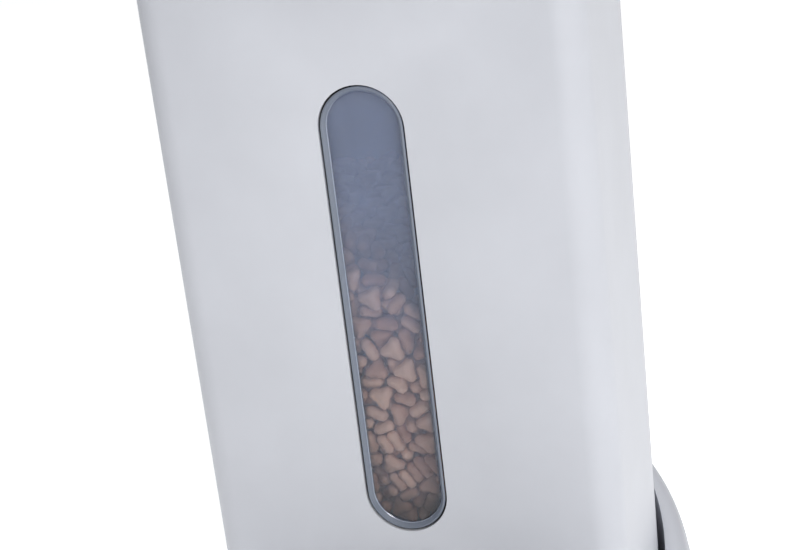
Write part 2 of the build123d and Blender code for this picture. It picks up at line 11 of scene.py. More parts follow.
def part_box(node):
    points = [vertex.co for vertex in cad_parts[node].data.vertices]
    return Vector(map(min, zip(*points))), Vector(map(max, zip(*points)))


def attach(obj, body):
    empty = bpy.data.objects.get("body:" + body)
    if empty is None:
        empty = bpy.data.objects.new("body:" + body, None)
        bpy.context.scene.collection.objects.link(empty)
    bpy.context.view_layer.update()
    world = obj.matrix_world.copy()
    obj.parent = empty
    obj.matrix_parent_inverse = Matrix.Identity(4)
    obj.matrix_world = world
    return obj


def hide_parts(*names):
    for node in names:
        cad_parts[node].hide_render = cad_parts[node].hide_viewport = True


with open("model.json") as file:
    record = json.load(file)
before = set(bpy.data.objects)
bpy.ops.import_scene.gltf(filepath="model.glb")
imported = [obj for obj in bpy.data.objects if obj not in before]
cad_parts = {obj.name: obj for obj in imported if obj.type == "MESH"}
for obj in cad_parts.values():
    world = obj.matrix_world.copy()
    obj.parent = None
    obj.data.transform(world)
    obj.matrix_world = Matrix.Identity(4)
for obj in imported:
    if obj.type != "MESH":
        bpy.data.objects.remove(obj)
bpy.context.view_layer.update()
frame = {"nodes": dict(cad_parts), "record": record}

bl_info = {
    "name": "Automatic Pet Feeder",
    "version": (1, 0, 0),
    "blender": (4, 5, 0),
    "location": "View3D > Sidebar > Feeder",
    "description": "Finishes the pieces of an automatic pet feeder and sets up its studio",
    "category": "Object",
}

MM = 0.001
BODY_OF = {node: body for body, nodes in frame["record"]["behaviour"]["bodies"].items() for node in nodes}


def corners(node):
    """The lowest and highest corner of a node at rest."""
    low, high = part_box(node)
    return Vector(low), Vector(high)


# ---------------------------------------------------------------- settings


class FeederSizes(bpy.types.PropertyGroup):
    """Sizes of the details that are added to the frame."""

    lip_round: bpy.props.FloatProperty(
        name="Lip round", description="Round on the edges of the moulded shells",
        default=0.9 * MM, unit="LENGTH")
    small_round: bpy.props.FloatProperty(
        name="Small round", description="Round on the edges of small parts",
        default=0.3 * MM, unit="LENGTH")
    kibble_across: bpy.props.FloatProperty(
        name="Kibble across", description="Width of one piece of food over its lobes",
        default=12.4 * MM, unit="LENGTH")
    kibble_thick: bpy.props.FloatProperty(
        name="Kibble thickness", description="Thickness of one piece of food",
        default=5.2 * MM, unit="LENGTH")
    fill_middle: bpy.props.FloatProperty(
        name="Fill height", description="Height of the food's surface at the middle of the window",
        default=246 * MM, unit="LENGTH")
    fill_slope: bpy.props.FloatProperty(
        name="Fill slope", description="Half the height that the surface falls from left to right",
        default=17 * MM, unit="LENGTH")


class FeederColours(bpy.types.PropertyGroup):
    """Colours, as sRGB hex values."""

    shell: bpy.props.StringProperty(name="Shell", description="Satin ABS of the casing", default="#D0D2D9")
    plate: bpy.props.StringProperty(name="Plate", description="ABS of the floor plate", default="#A9ACB2")
    lens: bpy.props.StringProperty(name="Lens", description="Tint that the window passes", default="#FAFBFD")
    # The haze colour is the film on the clear walls: partly dust, partly a painted reflection of the floor.
    haze: bpy.props.StringProperty(name="Haze", description="Dust on the clear walls", default="#A2B2D8")
    rim: bpy.props.StringProperty(name="Rim", description="Printed border of the window", default="#7E8593")
    # The bead colour is a painted highlight: pale paint on the thin ring of the bead stands in for the glint
    # along its rounded edge.
    bead: bpy.props.StringProperty(name="Bead", description="Pale bead round the window", default="#C3C8D2")
    kibble: bpy.props.StringProperty(name="Kibble", description="Baked food, lit side", default="#FFD0AE")
    kibble_dark: bpy.props.StringProperty(name="Dark kibble", description="Darker food", default="#C48E71")
    liner: bpy.props.StringProperty(name="Liner", description="Polypropylene of the lid", default="#D3D6DB")
    button: bpy.props.StringProperty(name="Buttons", description="Satin ABS of buttons", default="#C9CCD3")
    inner: bpy.props.StringProperty(name="Inner plastic", description="ABS in the tower", default="#B4B9C0")
    panel: bpy.props.StringProperty(name="Panel", description="Dark acrylic", default="#15181D")


class StudioSettings(bpy.types.PropertyGroup):
    """Camera and light."""

    camera_place: bpy.props.FloatVectorProperty(
        name="Camera place", description="Where the camera stands", size=3,
        default=(0.2280, -0.7048, 0.5125), unit="LENGTH")
    yaw: bpy.props.FloatProperty(
        name="Yaw", description="Turn of the camera about the upright",
        default=math.radians(18.26), unit="ROTATION")
    pitch: bpy.props.FloatProperty(
        name="Pitch", description="How far the camera looks down",
        default=math.radians(20.1), unit="ROTATION")
    roll: bpy.props.FloatProperty(
        name="Roll", description="Lean of the camera",
        default=math.radians(-6.88), unit="ROTATION")
    lens: bpy.props.FloatProperty(
        name="Lens", description="Focal length in millimetres on a 36 mm sensor", default=79.75)


# ---------------------------------------------------------------- small tools


def linear(hex_text):
    """An sRGB hex value as linear RGBA."""
    parts = [int(hex_text[place:place + 2], 16) / 255 for place in (1, 3, 5)]
    return [part / 12.92 if part <= 0.04045 else ((part + 0.055) / 1.055) ** 2.4 for part in parts] + [1.0]


def deselect():
    """Leaves nothing selected."""
    if bpy.context.object and bpy.context.object.mode != "OBJECT":
        bpy.ops.object.mode_set(mode="OBJECT")
    bpy.ops.object.select_all(action="DESELECT")


def activate(obj):
    """Selects one object alone and makes it active."""
    deselect()
    obj.select_set(True)
    bpy.context.view_layer.objects.active = obj


def edit(obj, kind="FACE"):
    """Opens an object in edit mode with nothing selected."""
    activate(obj)
    bpy.ops.object.mode_set(mode="EDIT")
    bpy.ops.mesh.select_mode(type=kind)
    bpy.ops.mesh.select_all(action="DESELECT")


def choose(obj, kind, test):
    """Selects the vertices, edges or faces that pass a test, from edit mode."""
    bpy.ops.object.mode_set(mode="OBJECT")
    items = {"VERT": obj.data.vertices, "EDGE": obj.data.edges, "FACE": obj.data.polygons}[kind]
    for item in items:
        item.select = bool(test(item))
    bpy.ops.object.mode_set(mode="EDIT")


def done(obj):
    """Leaves edit mode."""
    bpy.ops.object.mode_set(mode="OBJECT")
    return obj


def modify(obj, kind, **settings):
    """Adds a modifier with its settings and applies it."""
    activate(obj)
    modifier = obj.modifiers.new(kind.title(), kind)
    for name, value in settings.items():
        setattr(modifier, name, value)
    bpy.ops.object.modifier_apply(modifier=modifier.name)


def settle(obj, name, material, smooth=math.radians(35)):
    """Applies an object's place, names it, gives it its finish and smooths it by angle."""
    activate(obj)
    bpy.ops.object.transform_apply(location=True, rotation=True, scale=True)
    obj.name = name
    obj.data.name = name
    obj.data.materials.clear()
    obj.data.materials.append(material)
    bpy.ops.object.shade_smooth_by_angle(angle=smooth)
    return obj


def stand_for(obj, *nodes):
    """Makes a piece stand for CAD nodes: it rides on their body, and the nodes are hidden."""
    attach(obj, BODY_OF[nodes[0]])
    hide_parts(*nodes)


def moulded_copy(node, name, material, edge_round, angle=32.0, segments=3):
    """A copy of a CAD node with its edges rounded, as a mould leaves them."""
    activate(frame["nodes"][node])
    bpy.ops.object.duplicate()
    obj = bpy.context.object
    edit(obj)
    bpy.ops.mesh.select_all(action="SELECT")
    bpy.ops.mesh.remove_doubles(threshold=0.002 * MM)
    bpy.ops.mesh.dissolve_limited(angle_limit=math.radians(0.6))
    done(obj)
    modify(obj, "BEVEL", width=edge_round, segments=segments, limit_method="ANGLE",
           angle_limit=math.radians(angle), use_clamp_overlap=True, harden_normals=False)
    settle(obj, name, material)
    stand_for(obj, node)
    return obj


def finish(node, material):
    """Gives a CAD node that stays its finish."""
    obj = frame["nodes"][node]
    obj.data.materials.clear()
    obj.data.materials.append(material)


# ---------------------------------------------------------------- materials


def new_material(name):
    """A material with an empty Principled surface. Returns it, its tree and the surface."""
    material = bpy.data.materials.new(name)
    material.use_nodes = True
    return material, material.node_tree, material.node_tree.nodes["Principled BSDF"]


def add_node(tree, kind, links=None, **settings):
    """Adds a node with its settings. links gives its inputs a value or another node's output."""
    node = tree.nodes.new(kind)
    for name, value in settings.items():
        setattr(node, name, value)
    for socket, value in (links or {}).items():
        if isinstance(value, bpy.types.NodeSocket):
            tree.links.new(value, node.inputs[socket])
        else:
            node.inputs[socket].default_value = value
    return node


def grain(tree, grain_mm, detail=2.0, stretch=(1, 1, 1)):
    """Noise of a real size over the object."""
    place = add_node(tree, "ShaderNodeTexCoord")
    turn = add_node(tree, "ShaderNodeMapping", {"Vector": place.outputs["Object"], "Scale": stretch})
    links = {"Vector": turn.outputs["Vector"], "Scale": 1000.0 / grain_mm, "Detail": detail}
    return add_node(tree, "ShaderNodeTexNoise", links).outputs["Fac"]


def ramp(tree, value, low, high, start=0.3, end=0.7):
    """A colour between two linear colours by a value."""
    mix = add_node(tree, "ShaderNodeValToRGB", {"Fac": value})
    mix.color_ramp.elements[0].position = start
    mix.color_ramp.elements[1].position = end
    mix.color_ramp.elements[0].color = low
    mix.color_ramp.elements[1].color = high
    return mix.outputs["Color"]


def span(tree, value, low, high):
    """A value moved from 0..1 to low..high."""
    links = {"Value": value, "To Min": low, "To Max": high}
    return add_node(tree, "ShaderNodeMapRange", links).outputs["Result"]


def bump(tree, height, depth_mm, strength=1.0):
    """A bump of a real depth."""
    links = {"Height": height, "Distance": depth_mm * MM, "Strength": strength}
    return add_node(tree, "ShaderNodeBump", links).outputs["Normal"]


def shaded(hex_text, factor):
    """A hex colour in linear, made lighter or darker."""
    return [part * factor for part in linear(hex_text)[:3]] + [1.0]


def moulded_plastic(name, hex_text, roughness, grain_mm=0.9, depth_mm=0.012, drift=0.03):
    """Injection-moulded plastic: an even colour, a fine spark-eroded grain and slight flow marks."""
    material, tree, surface = new_material(name)
    flow = grain(tree, 45, 3)
    fine = grain(tree, grain_mm, 2)
    tree.links.new(ramp(tree, flow, shaded(hex_text, 1 - drift), shaded(hex_text, 1 + drift)),
                   surface.inputs["Base Color"])
    tree.links.new(span(tree, flow, roughness - 0.04, roughness + 0.04), surface.inputs["Roughness"])
    tree.links.new(bump(tree, fine, depth_mm, 0.6), surface.inputs["Normal"])
    surface.inputs["IOR"].default_value = 1.53
    return material


def clear_wall(name, tint, haze, film, roughness, shine):
    """Clear plastic: passes a tint, mirrors more at a slant, and carries a pale film that thickens upwards,
    partly dust and partly a painted reflection of the bright floor, stronger towards the top.
    """
    material, tree, surface = new_material(name)
    through = add_node(tree, "ShaderNodeBsdfTransparent", {"Color": linear(tint)})
    surface.inputs["Base Color"].default_value = linear(haze)
    surface.inputs["Roughness"].default_value = roughness
    surface.inputs["IOR"].default_value = 1.5
    place = add_node(tree, "ShaderNodeTexCoord").outputs["Object"]
    height = add_node(tree, "ShaderNodeSeparateXYZ", {"Vector": place}).outputs["Z"]
    # Painted reflection: the film's share rises with height from its first to its second amount, standing in
    # for the floor's veil on the glass, brightest at the top; real dust patches ride on it.
    dust_and_painted_veil = add_node(tree, "ShaderNodeMapRange", {"Value": height, "From Min": 0.20, "From Max": 0.29,
                                                 "To Min": film[0], "To Max": film[1]}).outputs["Result"]
    patchy = span(tree, grain(tree, 16, 4), 0.75, 1.25)
    dust_and_painted_veil = add_node(tree, "ShaderNodeMath", {0: dust_and_painted_veil, 1: patchy}, operation="MULTIPLY").outputs["Value"]
    slant = add_node(tree, "ShaderNodeLayerWeight", {"Blend": 0.5}).outputs["Facing"]
    mirror = add_node(tree, "ShaderNodeMath", {0: slant, 1: 5.0}, operation="POWER").outputs["Value"]
    share = add_node(tree, "ShaderNodeMath", {0: dust_and_painted_veil, 1: mirror}, operation="ADD", use_clamp=True)
    layers = {"Fac": share.outputs["Value"], 1: through.outputs[0], 2: surface.outputs[0]}
    body = add_node(tree, "ShaderNodeMixShader", layers)
    gloss = add_node(tree, "ShaderNodeBsdfGlossy", {"Roughness": 0.06})
    layers = {"Fac": span(tree, mirror, shine, 0.9), 1: body.outputs[0], 2: gloss.outputs[0]}
    coated = add_node(tree, "ShaderNodeMixShader", layers)
    tree.links.new(coated.outputs[0], tree.nodes["Material Output"].inputs["Surface"])
    return material


def drawn_metal(name, hex_text, roughness):
    """Drawn or rolled metal: even and bright, with faint lines along its length and soft handling marks."""
    material, tree, surface = new_material(name)
    lines = grain(tree, 0.6, 3, (1, 1, 0.08))
    marks = grain(tree, 9, 4)
    tree.links.new(ramp(tree, lines, shaded(hex_text, 0.85), shaded(hex_text, 1.05)),
                   surface.inputs["Base Color"])
    tree.links.new(span(tree, marks, roughness - 0.08, roughness + 0.1), surface.inputs["Roughness"])
    tree.links.new(bump(tree, lines, 0.01, 0.5), surface.inputs["Normal"])
    surface.inputs["Metallic"].default_value = 1.0
    return material


def spun_steel(centre):
    """Stainless steel spun on a lathe: fine rings round the bowl's middle, and food-dulled patches."""
    material, tree, surface = new_material("stainless_steel_spun")
    place = add_node(tree, "ShaderNodeTexCoord").outputs["Object"]
    middle = add_node(tree, "ShaderNodeMapping", {"Vector": place, "Location": (-centre.x, -centre.y, 0)})
    rings = add_node(tree, "ShaderNodeTexWave", {"Vector": middle.outputs["Vector"], "Scale": 620.0,
                                                 "Distortion": 1.2, "Detail": 3.0, "Detail Scale": 2.0},
                     wave_type="RINGS", rings_direction="Z").outputs["Fac"]
    dulled = grain(tree, 22, 4)
    tree.links.new(ramp(tree, rings, linear("#C0C2C5"), linear("#CECFD2"), 0.0, 1.0),
                   surface.inputs["Base Color"])
    tree.links.new(span(tree, dulled, 0.24, 0.34), surface.inputs["Roughness"])
    tree.links.new(bump(tree, rings, 0.0012, 0.2), surface.inputs["Normal"])
    surface.inputs["Metallic"].default_value = 1.0
    return material


def circuit_board():
    """Glass-fibre board under green solder mask: glossy, with the tracks showing as paler raised lines."""
    material, tree, surface = new_material("fibreglass_board_solder_masked")
    place = add_node(tree, "ShaderNodeTexCoord").outputs["Object"]
    tracks = add_node(tree, "ShaderNodeTexBrick", {"Vector": place, "Scale": 160.0, "Mortar Size": 0.03,
                                                   "Color1": linear("#14533A"), "Color2": linear("#175C40"),
                                                   "Mortar": linear("#2B8A60")})
    tree.links.new(tracks.outputs["Color"], surface.inputs["Base Color"])
    tree.links.new(bump(tree, tracks.outputs["Fac"], 0.03), surface.inputs["Normal"])
    surface.inputs["Roughness"].default_value = 0.28
    return material


def cell_wrap():
    """Dry cells: a shrunk plastic film round the can, with bare plated steel at the ends."""
    material, tree, surface = new_material("film_shrunk_on_steel_cells")
    place = add_node(tree, "ShaderNodeTexCoord").outputs["Object"]
    along = add_node(tree, "ShaderNodeSeparateXYZ", {"Vector": place}).outputs["X"]
    reach = add_node(tree, "ShaderNodeMath", {0: along}, operation="ABSOLUTE").outputs["Value"]
    ends = add_node(tree, "ShaderNodeMath", {0: reach, 1: 28.6 * MM}, operation="GREATER_THAN")
    bare = ends.outputs["Value"]
    tree.links.new(ramp(tree, bare, linear("#34506B"), linear("#C6C7CA"), 0.4, 0.6),
                   surface.inputs["Base Color"])
    tree.links.new(bare, surface.inputs["Metallic"])
    tree.links.new(span(tree, grain(tree, 3, 3), 0.22, 0.36), surface.inputs["Roughness"])
    return material


def rubber(name, hex_text):
    """Moulded rubber or silicone: dull, with a soft bloom on it."""
    material, tree, surface = new_material(name)
    bloom = grain(tree, 3, 4)
    tree.links.new(ramp(tree, bloom, shaded(hex_text, 0.9), shaded(hex_text, 1.25)),
                   surface.inputs["Base Color"])
    tree.links.new(bump(tree, bloom, 0.02, 0.5), surface.inputs["Normal"])
    surface.inputs["Roughness"].default_value = 0.7
    return material


def baked_food(light, dark):
    """Extruded and baked dry food: crusty, pitted, each piece its own tone, with a trace of fat."""
    material, tree, surface = new_material("kibble_extruded_baked")
    tone = add_node(tree, "ShaderNodeAttribute", attribute_name="tone").outputs["Fac"]
    crust = grain(tree, 2.2, 6)
    pits = grain(tree, 0.7, 3)
    piece = ramp(tree, tone, linear(dark), linear(light), 0.0, 1.0)
    darker = add_node(tree, "ShaderNodeMix", {"Factor": span(tree, crust, 0.0, 0.5), "A": piece,
                                              "B": shaded(dark, 0.55)}, data_type="RGBA")
    tree.links.new(darker.outputs["Result"], surface.inputs["Base Color"])
    both = add_node(tree, "ShaderNodeMath", {0: crust, 1: pits}, operation="ADD").outputs["Value"]
    tree.links.new(bump(tree, both, 0.5, 0.8), surface.inputs["Normal"])
    surface.inputs["Roughness"].default_value = 0.62
    return material


# ---------------------------------------------------------------- pieces


def settings():
    """The sizes, colours and studio settings of this scene."""
    scene = bpy.context.scene
    return scene.feeder_sizes, scene.feeder_colours, scene.feeder_studio


def pill_sheet(width, length, y, middle, segments=20):
    """A flat round-ended sheet that faces the front, as one face."""
    bpy.ops.mesh.primitive_plane_add(size=1, location=(0, y, middle), rotation=(math.radians(90), 0, 0))
    obj = bpy.context.object
    obj.scale = (width, length, 1)
    bpy.ops.object.transform_apply(location=True, rotation=True, scale=True)
    edit(obj, "VERT")
    bpy.ops.mesh.select_all(action="SELECT")
    bpy.ops.mesh.bevel(offset=width / 2 * 0.9999, segments=segments, affect="VERTICES")
    bpy.ops.mesh.remove_doubles(threshold=0.01 * MM)
    return done(obj)


def widest_face(obj):
    """Selects the face with the most area, from edit mode."""
    bpy.ops.object.mode_set(mode="OBJECT")
    largest = max(face.area for face in obj.data.polygons)
    bpy.ops.object.mode_set(mode="EDIT")
    choose(obj, "FACE", lambda face: face.area == largest)


class FEEDER_OT_stage(bpy.types.Operator):
    """Sets up the floor, the light and the camera"""

    bl_idname = "feeder.stage"
    bl_label = "Stage"

    def execute(self, context):
        studio = settings()[2]
        bpy.ops.object.camera_add(location=studio.camera_place)
        camera = context.object
        turn = Matrix.Rotation(studio.yaw, 3, "Z") @ Matrix.Rotation(math.pi / 2 - studio.pitch, 3, "X")
        camera.rotation_euler = (turn @ Matrix.Rotation(studio.roll, 3, "Z")).to_euler()
        camera.data.lens = studio.lens
        camera.data.clip_end = 50
        context.scene.camera = camera
        context.scene.view_settings.view_transform = "Standard"

        bpy.ops.mesh.primitive_plane_add(size=12, location=(0, 0, 0))
        floor = context.object
        floor.name = "studio_floor"
        material, tree, surface = new_material("studio_paper_pale")
        surface.inputs["Base Color"].default_value = (0.86, 0.87, 0.88, 1)
        surface.inputs["Roughness"].default_value = 0.95
        surface.inputs["Emission Color"].default_value = (1, 1, 1, 1)
        surface.inputs["Emission Strength"].default_value = 0.76
        floor.data.materials.append(material)

        world = context.scene.world or bpy.data.worlds.new("Studio")
        context.scene.world = world
        world.use_nodes = True
        backdrop = world.node_tree.nodes["Background"]
        backdrop.inputs["Color"].default_value = (0.95, 0.97, 1.0, 1)
        seen = add_node(world.node_tree, "ShaderNodeLightPath").outputs["Is Camera Ray"]
        world.node_tree.links.new(span(world.node_tree, seen, 0.2, 1.0), backdrop.inputs["Strength"])
        lamps = (
            ("key", (0.78, -0.86, 1.08), 0.45, 8.2, (1.0, 0.99, 0.975)),
            ("top", (0.3, 0.5, 2.2), 2.0, 12, (1.0, 1.0, 1.0)),
            ("front", (0.9, -1.9, 1.0), 1.0, 3, (0.95, 0.975, 1.0)),
        )
        target = Vector((0, 0, 0.22))
        for name, place, size, power, tint in lamps:
            bpy.ops.object.light_add(type="AREA", location=place)
            lamp = context.object
            lamp.name = "studio_" + name
            lamp.data.size = size
            lamp.data.energy = power
            lamp.data.color = tint
            lamp.rotation_euler = (target - Vector(place)).to_track_quat("-Z", "Y").to_euler()
        return {"FINISHED"}


class FEEDER_OT_shells(bpy.types.Operator):
    """Finishes the moulded shells of the tower, base, front and lid"""

    bl_idname = "feeder.shells"
    bl_label = "Shells"

    def execute(self, context):
        sizes, colours, _ = settings()
        abs_shell = moulded_plastic("abs_moulded_satin_white", colours.shell, 0.40)
        abs_plate = moulded_plastic("abs_moulded_grey", colours.plate, 0.55, grain_mm=0.7, depth_mm=0.03)
        for node in ("tower_shell", "base_shell", "bowl_tray", "lid_shell"):
            moulded_copy(node, node + "_moulding", abs_shell, sizes.lip_round)
        for node in ("base_plate", "battery_door"):
            moulded_copy(node, node + "_moulding", abs_plate, sizes.small_round)
        return {"FINISHED"}


class FEEDER_OT_window(bpy.types.Operator):
    """Makes the window with its dished border and bead"""

    bl_idname = "feeder.window"
    bl_label = "Window"

    def execute(self, context):
        _, colours, _ = settings()
        low, high = corners("window_lens")
        middle = (low.z + high.z) / 2
        flange = 6.6 * MM
        groove = 1.1 * MM
        length = high.z - low.z - flange - groove
        width = high.x - low.x - flange - groove
        obj = pill_sheet(width, length, low.y + 0.3 * MM, middle)
        edit(obj)
        widest_face(obj)
        steps = (
            (0.35, 0.3), (0.45, 0.05), (1.3, -1.75), (0.22, 0.38),
            (0.18, 0.1), (0.18, -0.1), (0.22, -0.48), (0.3, -0.1),
        )
        for inset, rise in steps:
            bpy.ops.mesh.inset(thickness=inset * MM, depth=rise * MM)
        done(obj)
        modify(obj, "SOLIDIFY", thickness=1.0 * MM, offset=-1.0)
        # The lens takes the same film, faint: partly dust, partly painted reflection.
        acrylic = clear_wall("acrylic_cast_tinted", colours.lens, colours.haze, (0.008, 0.02), 0.1, 0.03)
        settle(obj, "window_pane", acrylic, math.radians(50))
        border = moulded_plastic("ink_printed_on_acrylic", colours.rim, 0.22, grain_mm=0.6, depth_mm=0.003)
        # Painted highlight: the pale ring on the bead stands in for the glint along its edge; the border's
        # grey is print.
        bead = moulded_plastic("painted_highlight_on_bead", colours.bead, 0.15, grain_mm=0.6, depth_mm=0.003)
        obj.data.materials.append(border)
        obj.data.materials.append(bead)
        half = width / 2 - 2.2 * MM
        straight = (length - width) / 2
        for face in obj.data.polygons:
            away = Vector((face.center.x, max(abs(face.center.z - middle) - straight, 0))).length
            # Index 1 takes the printed border; index 2, a 0.25 mm ring at the bead, takes the painted
            # highlight.
            face.material_index = int(away > half) + int(half < away < half + 0.25 * MM)
        stand_for(obj, "window_lens")

        # Painted shadow: the seal is black and reaches 0.3 mm in past the pane's edge, so that the groove
        # round the pane shows dark as the shade there; it is also the real window seal.
        low, high = corners("window_gasket")
        seal = pill_sheet(high.x - low.x, high.z - low.z, low.y + 0.1 * MM, middle)
        edit(seal)
        widest_face(seal)
        bpy.ops.mesh.inset(thickness=(high.x - low.x - width) / 2 + 0.3 * MM)
        bpy.ops.mesh.delete(type="FACE")
        done(seal)
        modify(seal, "SOLIDIFY", thickness=high.y - low.y - 0.2 * MM, offset=-1.0)
        modify(seal, "BEVEL", width=0.15 * MM, segments=2)
        settle(seal, "window_seal_painted_groove_shadow", rubber("rubber_moulded_window_seal", "#17181B"))
        stand_for(seal, "window_gasket")
        return {"FINISHED"}


# The food settles a hundred times too large and a little too thick, in a slab behind the window.
SIM_SCALE = 100.0
SIM_FRAMES = 90
LOOSE = 1.09
KIBBLE_COUNT = 420
PER_ROW = 4
SLAB_HALF = 34 * MM
SLAB_DEEP = 23 * MM
WALL_THICK = 20 * MM
WALL_TALL = 0.9
# How tall the tank's funnel is, and how far its front wall leans in on the way down.
FUNNEL_TALL = 61 * MM
FUNNEL_IN = 11.8 * MM
# The part of the settled slab that is laid again round the tank and over the top.
TILE_TALL = 100 * MM
TOP_LAYER = 13 * MM
SIDE_LAYER = 9 * MM


def food_height(x):
    """Height of the food's surface, which falls from left to right past the window."""
    sizes = settings()[0]
    return sizes.fill_middle - sizes.fill_slope * math.tanh(x / (24 * MM))


def kibble_piece(sizes):
    """One three-lobed piece of dry food with a crowned face."""
    bpy.ops.mesh.primitive_cylinder_add(vertices=15, radius=1, depth=sizes.kibble_thick)
    obj = bpy.context.object
    for vertex in obj.data.vertices:
        angle = math.atan2(vertex.co.y, vertex.co.x)
        reach = sizes.kibble_across / 2 * (0.79 + 0.21 * math.cos(3 * angle))
        vertex.co.x = reach * math.cos(angle)
        vertex.co.y = reach * math.sin(angle)
    height = {vertex.index: vertex.co.z for vertex in obj.data.vertices}
    edit(obj, "EDGE")
    choose(obj, "EDGE", lambda edge: abs(sum(height[end] for end in edge.vertices)) > sizes.kibble_thick / 2)
    bpy.ops.mesh.bevel(offset=1.5 * MM, segments=1)
    done(obj)
    bpy.ops.object.shade_smooth()
    return obj


def wall(name, middle, size, lean=0.0):
    """A fixed wall for the food to settle against."""
    spot = [part * SIM_SCALE for part in middle]
    bpy.ops.mesh.primitive_cube_add(size=1, location=spot, rotation=(lean, 0, 0))
    obj = bpy.context.object
    obj.name = name
    obj.scale = [part * SIM_SCALE for part in size]
    bpy.ops.object.transform_apply(location=False, rotation=False, scale=True)
    bpy.ops.rigidbody.object_add(type="PASSIVE")
    obj.rigid_body.collision_shape = "BOX"
    obj.rigid_body.friction = 0.5
    return obj


def settle_food(model, front, top_of_funnel, foot, foot_front):
    """Drops pieces between the tank's front and a wall behind it, and returns where they come to rest."""
    scene = bpy.context.scene
    draw = random.Random(11)
    bpy.ops.rigidbody.world_add()
    scene.rigidbody_world.substeps_per_frame = 8
    scene.rigidbody_world.solver_iterations = 10
    scene.gravity = (0, 0, -98)
    half = WALL_THICK / 2
    wide = 0.2
    lean = math.atan2(foot_front - front, top_of_funnel - foot)
    slope = (top_of_funnel - foot) / math.cos(lean)
    middle_y = (front + foot_front) / 2
    middle_z = (top_of_funnel + foot) / 2
    lean_half = half / math.cos(lean)
    upper = top_of_funnel + WALL_TALL / 2
    side_middle = foot + WALL_TALL / 2
    side = (WALL_THICK, wide, WALL_TALL + 0.1)
    walls = [
        wall("floor", (0, front, foot - half), (wide, wide, WALL_THICK)),
        wall("front", (0, front - half, upper), (wide, WALL_THICK, WALL_TALL)),
        wall("back", (0, front + SLAB_DEEP + half, upper), (wide, WALL_THICK, WALL_TALL)),
        wall("front_low", (0, middle_y - lean_half, middle_z), (wide, WALL_THICK, slope), lean),
        wall("back_low", (0, middle_y + SLAB_DEEP + lean_half, middle_z), (wide, WALL_THICK, slope), lean),
        wall("left", (-SLAB_HALF - half, front, side_middle), side),
        wall("right", (SLAB_HALF + half, front, side_middle), side),
    ]
    large = model.data.copy()
    large.transform(Matrix.Scale(SIM_SCALE * LOOSE, 4))
    pieces = []
    for count in range(KIBBLE_COUNT):
        obj = bpy.data.objects.new("piece", large)
        scene.collection.objects.link(obj)
        row, place = divmod(count, PER_ROW)
        x = (place - (PER_ROW - 1) / 2) * 2 * SLAB_HALF / PER_ROW + draw.uniform(-1, 1) * MM
        y = front + SLAB_DEEP / 2 + draw.uniform(-3, 3) * MM
        z = foot + (14 + row * 13) * MM
        if z < top_of_funnel:
            y += (top_of_funnel - z) * math.tan(lean)
        obj.location = Vector((x, y, z)) * SIM_SCALE
        obj.rotation_euler = [draw.uniform(0, math.tau) for _ in range(3)]
        obj.scale = [draw.uniform(0.92, 1.06)] * 3
        pieces.append(obj)
    deselect()
    for obj in pieces:
        obj.select_set(True)
    bpy.context.view_layer.objects.active = pieces[0]
    bpy.ops.rigidbody.objects_add(type="ACTIVE")
    for obj in pieces:
        obj.rigid_body.collision_shape = "CONVEX_HULL"
        obj.rigid_body.friction = 0.55
        obj.rigid_body.restitution = 0.0
        obj.rigid_body.linear_damping = 0.1
    for step in range(1, SIM_FRAMES):
        scene.frame_set(step)
    resting = [obj.matrix_world.copy() for obj in pieces]
    bpy.ops.rigidbody.world_remove()
    for obj in pieces + walls:
        bpy.data.objects.remove(obj)
    scene.frame_set(1)
    for matrix in resting:
        matrix.translation /= SIM_SCALE
    return resting


def around_tank(front, inner, centre_y):
    """Points round the inside of the tank's wall, a slab's width apart, with the way outwards."""
    step = 2 * SLAB_HALF
    stops = []
    corner = Vector((-inner, front, 0))
    path = [(Vector((-SLAB_HALF * 0.9, front, 0)), corner), (corner, Vector((-inner, centre_y, 0)))]
    for start, end in path:
        run = end - start
        count = max(1, round(run.length / step))
        for place in range(count):
            spot = start + run * ((place + 0.5) / count)
            outward = Vector((run.y, -run.x, 0)).normalized()
            if outward.dot(spot - Vector((0, centre_y, 0))) < 0:
                outward.negate()
            stops.append((spot, outward))
            stops.append((Vector((-spot.x, spot.y, 0)), Vector((-outward.x, outward.y, 0))))
    count = round(math.pi * inner / step)
    for place in range(count):
        angle = math.pi * (place + 0.5) / count
        outward = Vector((math.cos(angle), math.sin(angle), 0))
        stops.append((Vector((0, centre_y, 0)) + outward * inner, outward))
    return stops


def inside_plan(spot, front, inner, centre_y, margin):
    """True if a place is inside the tank's D-shaped plan by a margin."""
    if spot.y < front + margin or abs(spot.x) > inner - margin:
        return False
    return spot.y < centre_y or Vector((spot.x, spot.y - centre_y)).length < inner - margin


